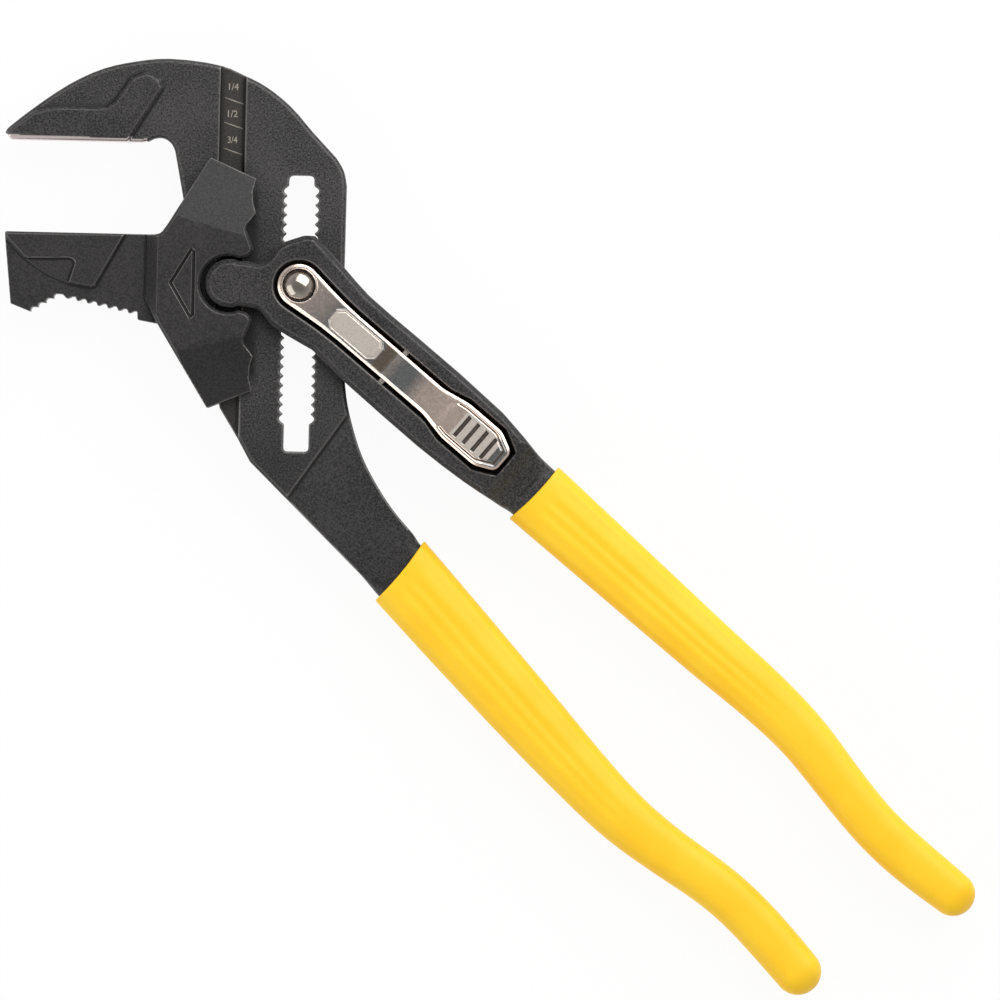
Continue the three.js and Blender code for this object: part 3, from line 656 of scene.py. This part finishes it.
rows, columns = x.shape
ids = np.arange(rows * columns).reshape(rows, columns)
quads = np.stack([ids[:-1, :-1], ids[1:, :-1], ids[1:, 1:], ids[:-1, 1:]], -1).reshape(-1, 4)
radius = from_eye.ravel()
kept = quads[(radius[quads] > EYE_HOLE).any(1)]
hole_edge = np.isin(np.arange(radius.size), kept) & (radius < EYE_HOLE)
pull = np.where(hole_edge, EYE_HOLE / np.maximum(radius, 0.1), 1).reshape(x.shape)
x, y = x * pull, y * pull
edges = np.concatenate([kept[:, [k, (k + 1) % 4]] for k in range(4)])
there = set(map(tuple, edges.tolist()))
border = [(a, b) for a, b in edges.tolist() if (b, a) not in there]
base = rows * columns
faces = np.concatenate([kept, kept[:, ::-1] + base, [(b, a, a + base, b + base) for a, b in border]])
points = np.concatenate([on_lever(x, y, top).reshape(-1, 3), on_lever(x, y, under).reshape(-1, 3)])
used, faces = np.unique(faces, return_inverse=True)
rocker = mesh_piece("release_rocker_stamping", points[used], faces.reshape(-1, 4))
dress(rocker, "release_rocker", "nickel_plate", nickel, recess_shade_nickel, blasted_nickel)

# %% Paint the rocker's reflections, shade and blasting
REFLECTION_TONES = (  # place along the rocker, and the tone of its painted reflection there
    (-6, 0.72), (5, 0.7), (9, 0.6), (10.5, 0.52),  # round the eye
    (26, 0.3), (26.4, 0.0), (29.2, 0.0),  # brown, a painted reflection behind the plaque
    (29.6, 0.6), (30.6, 0.55), (33, 0.38), (36, 0.42),  # a cool grey behind the crease
    (38, 0.62), (40, 0.8), (49, 0.9), (62, 0.9),  # warm and pale, a painted reflection on the pad
    (62.8, 0.36), (65, 0.36),  # the pad's dull end
)
# painted shade in the pad's slots and groove and in the rivet's seat, as in deep recesses
dark = (0.6 * groove + slots + 0.5 * seat).ravel()[kept].mean(1) > 0.4
on_pad = rise(x, 51.6, 51.8) * rise(63.2 - x, 0, 0.2) * rise(inset, 1.6, 1.8)
blasted = np.maximum(rise(plaque_in, 0.08, 0.2), on_pad).ravel()[kept].mean(1) > 0.5
finish = np.where(dark, 1, 2 * blasted)
paint_faces(rocker, np.concatenate([finish, np.zeros(len(rocker.data.polygons) - len(kept), int)]))
# the rim takes the palest tone, a painted highlight
reflection_tone = np.maximum(np.interp(x, *zip(*REFLECTION_TONES)), 1 - rise(inset, RIM, RIM + 0.1))
reflection_tone = np.concatenate([reflection_tone.ravel(), np.full(base, 0.6)])
set_values(rocker.data, "reflection_tone", reflection_tone[used])
print("tarnished faces:", int(dark.sum()), "blasted faces:", int((finish == 2).sum()))

# %% [markdown]
# ## Rivet
# The pivot pin hangs on the rocker by a domed rivet, which is spun bright. A sphere could be squashed
# into a dome, but turning a half-section gives a true curve with its flat seat and its stem.

# %% Turn the rivet
DOME_RADIUS, DOME_BASE, DOME_HEIGHT, STEM_RADIUS, STEM_END = 3.45, 9.5, 1.9, 1.1, 7.5
EDGE = 0.05  # height of the dome's upright edge
RIVET_SIDES = 64
curve = np.radians(np.linspace(0, 88, 18))
section = [(0.05, STEM_END), (STEM_RADIUS, STEM_END),
           (STEM_RADIUS, DOME_BASE), (DOME_RADIUS - 0.1, DOME_BASE)]
section += [(DOME_RADIUS * math.cos(a), DOME_BASE + EDGE + (DOME_HEIGHT - EDGE) * math.sin(a))
            for a in curve]
ring = np.linspace(0, 2 * math.pi, RIVET_SIDES, endpoint=False)
points = [(r * math.cos(a), r * math.sin(a), z + MID) for r, z in section for a in ring]
ids = np.arange(len(points)).reshape(-1, RIVET_SIDES)
after = np.roll(ids, -1, axis=1)
faces = np.stack([ids[:-1], after[:-1], after[1:], ids[1:]], -1).reshape(-1, 4).tolist()
faces += [ids[0][::-1].tolist(), ids[-1].tolist()]
dress(mesh_piece("domed_rivet", points, faces), "pivot_dome_rivet", "nickel_plate", polished_nickel)

# %% [markdown]
# ## Grips
# A dipped grip is a skin of even thickness with a rounded lip at its mouth, a round end, and shallow
# runs along it where the dip drained. The tool hung aslant in the bath, so each mouth is tilted a little
# and bowed. The CAD skin has flat facets, so its plan is read back from the points in its mid-plane, and
# a finer skin is drawn through the same plan: one wall outside, a second one inside, joined at the lip.

# %% Read a grip's plan
GRIP_HALF = 5.9  # half the thickness
LIP_ROOM = 1.3  # between the skin and the bar inside it, at the mouth


def plan_of(node_name):
    """Rows of x, y and half width along the middle of a grip."""
    spots = spots_of(nodes[node_name])
    crest = np.unique(np.round(spots[spots[:, 2] > MID + GRIP_HALF - 0.01, :2], 2), axis=0)
    crest = crest[np.argsort(crest[:, 0] - crest[:, 1])]
    edge = spots[abs(spots[:, 2] - MID) < 0.01, :2]
    away = np.linalg.norm(crest[:, None] - edge[None], axis=2)
    reach = away.min(1)
    reach[0] = away[0][away[0] < reach[0] + LIP_ROOM].max()
    return np.column_stack([crest, reach])


def length_along(spots):
    return np.concatenate([[0], np.cumsum(np.linalg.norm(np.diff(spots, axis=0), axis=1))])


def smoothed(plan, count, spread):
    """The plan at even steps, blurred, and carried straight on past its ends for the blur."""
    run = length_along(plan[:, :2])
    step = run[-1] / (count - 1)
    margin = int(3 * spread / step)
    places = np.arange(-margin, count + margin) * step
    inner = np.clip(places, 0, run[-1])
    even = np.column_stack([np.interp(inner, run, column) for column in plan.T])
    first, final = (plan[1] - plan[0]) / run[1], (plan[-1] - plan[-2]) / (run[-1] - run[-2])
    even += np.minimum(places, 0)[:, None] * first + np.maximum(places - run[-1], 0)[:, None] * final
    weights = np.exp(-0.5 * (np.arange(-margin, margin + 1) * step / spread) ** 2)
    return np.column_stack([np.convolve(column, weights / weights.sum(), "valid") for column in even.T])


print("points in a grip's plan:", len(plan_of("lever_handle_grip")))

# %% Draw one ring of the skin
SIDES = 72
FLUTES, FLUTE_HALF = (-0.6, -0.2, 0.15, 0.6), 0.13  # across the grip, as shares of its half width
MOUTH_BOW = 0.55  # by which the middle of the mouth is set back
MOUTH_EDGES = {"fixed_handle_grip": (0.7, -2.2), "lever_handle_grip": (-1.0, -0.4)}  # and its two sides


def skin_ring(spot, side, half, height, flute=0.0, slip=None):
    turn = np.linspace(0, 2 * math.pi, SIDES, endpoint=False)
    cos, sin = np.cos(turn), np.sin(turn)
    swell = (abs(cos) ** 3 + abs(sin) ** 3) ** (-1 / 3)  # squarer than an ellipse
    across = swell * cos
    dent = flute * sum(hump(across, at_share, FLUTE_HALF) for at_share in FLUTES) * (abs(sin) > 0.5)
    level = (height * swell - dent) * sin
    plan = spot + half * across[:, None] * side
    if slip:
        ahead, amount, edges = slip
        run = MOUTH_BOW * (1 - across ** 2) + np.interp(across, [-1, 1], edges)
        plan = plan + amount * run[:, None] * ahead
    return np.column_stack([plan, level + MID])


print("points in a ring of skin:", len(skin_ring(np.zeros(2), np.array([1, 0]), 8, GRIP_HALF)))

# %% Skin both handles
SKIN, FLUTE_DEPTH, MOUTH_REACH = 0.9, 0.3, 12


def dipped_grip(node_name):
    plan = smoothed(plan_of(node_name), 180, 4.0)
    spots, halves = plan[:, :2], plan[:, 2]
    ahead = np.gradient(spots, axis=0)
    ahead /= np.linalg.norm(ahead, axis=1)[:, None]
    sides = np.column_stack([-ahead[:, 1], ahead[:, 0]])
    run = length_along(spots)
    flute = FLUTE_DEPTH * rise(run, 1.5, 6) * (1 - rise(run, 50, 95))
    near_mouth, edges = np.clip(1 - run / MOUTH_REACH, 0, 1) ** 2, MOUTH_EDGES[node_name]
    walls = []
    for offset in (0.0, SKIN):
        wall = [skin_ring(spots[i], sides[i], halves[i] - offset, GRIP_HALF - offset,
                          flute[i] * (offset == 0), (ahead[i], near_mouth[i], edges))
                for i in range(len(spots))]
        end = halves[-1] - offset
        wall += [skin_ring(spots[-1] + ahead[-1] * end * math.sin(a), sides[-1], end * math.cos(a),
                           (GRIP_HALF - offset) * math.cos(a))
                 for a in np.radians(np.linspace(6, 87, 15))]
        walls.append(wall)
    lip = [skin_ring(spots[0] - ahead[0] * SKIN / 2 * math.sin(a), sides[0],
                     halves[0] - SKIN / 2 * (1 - math.cos(a)), GRIP_HALF - SKIN / 2 * (1 - math.cos(a)),
                     0.0, (ahead[0], 1.0, edges))
           for a in np.radians(np.linspace(18, 162, 9))]
    rings = walls[0][::-1] + lip + walls[1]
    ids = np.arange(len(rings) * SIDES).reshape(-1, SIDES)
    after = np.roll(ids, -1, axis=1)
    faces = np.stack([ids[:-1], ids[1:], after[1:], after[:-1]], -1).reshape(-1, 4).tolist()
    faces += [ids[0].tolist(), ids[-1][::-1].tolist()]
    grip = mesh_piece(node_name + "_skin", np.concatenate(rings), faces)
    return dress(grip, node_name, "dipped_grip", dipped_pvc)


for grip_name in ("fixed_handle_grip", "lever_handle_grip"):
    dipped_grip(grip_name)

# %% [markdown]
# ## Release spring
# A coil of round wire sits under the thumb pad. The CAD wire has few sides, so the coil is drawn again
# as a thick curve and turned into a mesh of its own.

# %% Wind the spring
coil_low, coil_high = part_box("release_spring")
centre = (coil_low + coil_high) / 2
WIRE, COIL_RADIUS, TURNS, PER_TURN = 0.35 * MM, 2.15 * MM, 4, 24
path = bpy.data.curves.new("coil", "CURVE")
path.dimensions = "3D"
path.bevel_depth = WIRE
path.bevel_resolution = 3
path.use_fill_caps = True
line = path.splines.new("POLY")
line.points.add(TURNS * PER_TURN)
for i, spot in enumerate(line.points):
    angle = 2 * math.pi * i / PER_TURN
    lift = coil_low.z + WIRE + (coil_high.z - coil_low.z - 2 * WIRE) * i / (TURNS * PER_TURN)
    spot.co = (centre.x + COIL_RADIUS * math.cos(angle), centre.y + COIL_RADIUS * math.sin(angle), lift, 1)


def solid_from(curve, name):
    drawn = bpy.data.objects.new(name, curve)
    scene.collection.objects.link(drawn)
    mesh = baked(drawn)
    bpy.data.objects.remove(drawn)
    mesh.name = name
    return mesh


spring = bpy.data.objects.new("release_spring_coil", solid_from(path, "release_spring_coil"))
scene.collection.objects.link(spring)
dress(spring, "release_spring", "bright_steel", spring_steel)
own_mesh(spring)

# %% [markdown]
# ## Size scale
# The channel carries a scale of jaw openings in quarter inches: three numbers, each with a slanted line.
# They are laser marks, which bleach the oxide to a frosted grey without leaving a step. An image could
# carry them, but text turned into a skin 0.04 mm thick stays sharp at any distance.

# %% Make the laser mark's finish
marked_oxide, tree, surface, place = new_material("laser_marked_oxide")
frost = add_node(tree, "TexNoise", {"Vector": place, "Scale": per_mm(0.4), "Detail": 2})
bleached = add_node(tree, "ValToRGB", {"Fac": frost.outputs["Fac"]}, [(0.35, "#857f76"), (0.65, "#a49d93")])
tree.links.new(bleached.outputs["Color"], surface.inputs["Base Color"])
surface.inputs["Roughness"].default_value = 0.6
print("scale finish:", marked_oxide.name)

# %% Mark the scale
MARK_SKIN = 0.04
NUMBER_SIZE = (2.4, 1.66)
LINE_FROM, LINE_TO, LINE_DROP, LINE_WIDTH = -19.4, -14.8, 1.5, 0.3
at, facing = faces_of(hook)
floor = (abs(at[:, 0] - CHANNEL_X) < 2.5) & (at[:, 1] > 30) & (at[:, 2] > MID) & (facing[:, 2] > 0.9)
channel_floor = float(np.median(at[floor, 2]))
BOX = ((3, 2, 1, 0), (4, 5, 6, 7), (0, 1, 5, 4), (1, 2, 6, 5), (2, 3, 7, 6), (3, 0, 4, 7))

points, faces = [], []
for label, spot, line_at in (
    ("1/4", (-17.25, 48.67), 46.1), ("1/2", (-17.35, 42.02), 40.0), ("3/4", (-17.28, 35.6), 33.6),
):
    letters = bpy.data.curves.new(label, "FONT")
    letters.body = label
    letters.extrude = 0.01
    letters.offset = 0.01
    mesh = solid_from(letters, label)
    flat = np.array([v.co for v in mesh.vertices])
    low, high = flat.min(0), flat.max(0)
    flat = (flat - (low + high) / 2) / (high - low)
    shift = len(points)
    points += [(spot[0] + p[0] * NUMBER_SIZE[0], spot[1] + p[1] * NUMBER_SIZE[1],
                channel_floor + p[2] * 2 * MARK_SKIN) for p in flat]
    faces += [[shift + k for k in face.vertices] for face in mesh.polygons]
    shift = len(points)
    right_at = line_at - LINE_DROP
    foot = [(LINE_FROM, line_at - LINE_WIDTH), (LINE_TO, right_at - LINE_WIDTH),
            (LINE_TO, right_at), (LINE_FROM, line_at)]
    points += [(px, py, channel_floor + z) for z in (-MARK_SKIN, MARK_SKIN) for px, py in foot]
    faces += [[shift + k for k in face] for face in BOX]
marks = mesh_piece("scale_marks", points, faces)
marks.data.materials.append(marked_oxide)
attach(marks, nodes["fixed_jaw_handle"]["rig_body"])
print("scale marks:", len(faces), "faces, on the channel's floor at", round(channel_floor, 2), "mm")

# %% [markdown]
# ## Table
# The tool lies on a white table. To show it white without flooding the tool with light, the table glows
# softly where the camera or a shiny surface sees it, and it is plain matt paper to all other light, which
# keeps the soft shadow.

# %% Set the table
REACH = 20
floor_mesh = bpy.data.meshes.new("table")
floor_mesh.from_pydata([(-REACH, -REACH, 0), (REACH, -REACH, 0), (REACH, REACH, 0), (-REACH, REACH, 0)],
                       [], [(0, 1, 2, 3)])
table = bpy.data.objects.new("table", floor_mesh)
table.location.z = -0.3 * MM
scene.collection.objects.link(table)
white_table, tree, surface, _ = new_material("white_studio_table")
surface.inputs["Base Color"].default_value = paint("#f6f6f6")
surface.inputs["Roughness"].default_value = 0.9
light_path = add_node(tree, "LightPath")
seen = light_path.outputs["Is Camera Ray"]
for ray in ("Is Glossy Ray", "Is Transmission Ray"):
    seen = add_node(tree, "Math", {0: seen, 1: light_path.outputs[ray]}, operation="MAXIMUM").outputs[0]
share = add_node(tree, "Math", {0: seen, 1: 0.95}, operation="MULTIPLY")
glow = add_node(tree, "Emission", {"Color": paint("#ffffff"), "Strength": 1.0})
mixed = add_node(tree, "MixShader", {0: share.outputs[0], 1: surface.outputs[0], 2: glow.outputs[0]})
tree.links.new(mixed.outputs[0], tree.nodes["Material Output"].inputs["Surface"])
floor_mesh.materials.append(white_table)
table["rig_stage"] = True
print("table:", 2 * REACH, "m wide")

# %% [markdown]
# ## Light
# A large softbox at the upper right of the picture lights the tool, so that faces that tilt that way turn
# pale and edges shine. A low one at the lower left picks out the other edges. The sky is dim overhead and
# paler towards the walls, as in a tent of white cloth, because polished metal that looks straight up has
# to mirror something darker than the lamps.

# %% Hang the lights
SKY_LOW, SKY_HIGH = 0.55, 0.28  # strength at the walls and overhead
world = bpy.data.worlds.new("studio_sky")
scene.world = world
world.use_nodes = True
tree = world.node_tree
way = add_node(tree, "SeparateXYZ", {0: add_node(tree, "TexCoord").outputs["Generated"]})
dim = add_node(tree, "MapRange", {
    "Value": way.outputs["Z"], "From Min": 0.5, "From Max": 0.95, "To Min": SKY_LOW, "To Max": SKY_HIGH})
tree.nodes["Background"].inputs["Color"].default_value = paint("#ffffff")
tree.links.new(dim.outputs[0], tree.nodes["Background"].inputs["Strength"])

look_at = Vector((50.6, -51.6, MID)) * MM
for name, offset, size, power in (
    ("softbox_upper_right", (0.385, 0.716, 0.813), 1.33, 14.6),
    ("softbox_lower_left", (-0.865, -0.441, 0.516), 1.03, 4.3),
):
    lamp = bpy.data.lights.new(name, "AREA")
    lamp.shape = "SQUARE"
    lamp.size = size
    lamp.energy = power
    softbox = bpy.data.objects.new(name, lamp)
    softbox.location = look_at + Vector(offset)
    softbox.rotation_euler = (-Vector(offset)).to_track_quat("-Z", "Y").to_euler()
    scene.collection.objects.link(softbox)
    print(name, power, "W")

# %% [markdown]
# ## Camera
# The tool is seen straight from above. A near camera would make its upright walls lean outwards, so the
# camera stands far off with a long lens, and is turned a little to match the tool's pose.

# %% Place the camera
FRAME_WIDTH = 246.5 * MM  # what the picture shows from edge to edge
CAMERA_HEIGHT = 4.0
ROLL = math.radians(1.3)
lens = bpy.data.cameras.new("overhead_camera")
lens.sensor_width = 36
lens.lens = lens.sensor_width * CAMERA_HEIGHT / FRAME_WIDTH
lens.clip_end = 50
camera = bpy.data.objects.new("overhead_camera", lens)
camera.location = look_at + Vector((0, 0, CAMERA_HEIGHT))
camera.rotation_euler = (0, 0, ROLL)
scene.collection.objects.link(camera)
scene.camera = camera
print("camera lens:", round(lens.lens, 1), "mm")

# %% [markdown]
# ## Sizes
# Dressing must not change the tool's size, so the box of the solids and the box of the dressed tool are
# compared, and how much each side grew is printed.

# %% Print how much the sizes grew
dressed_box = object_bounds()
grown = [[round((b - a) / MM, 3) for a, b in zip(c, d)] for c, d in zip(cad_box, dressed_box)]
print("grown by:", grown, "mm")
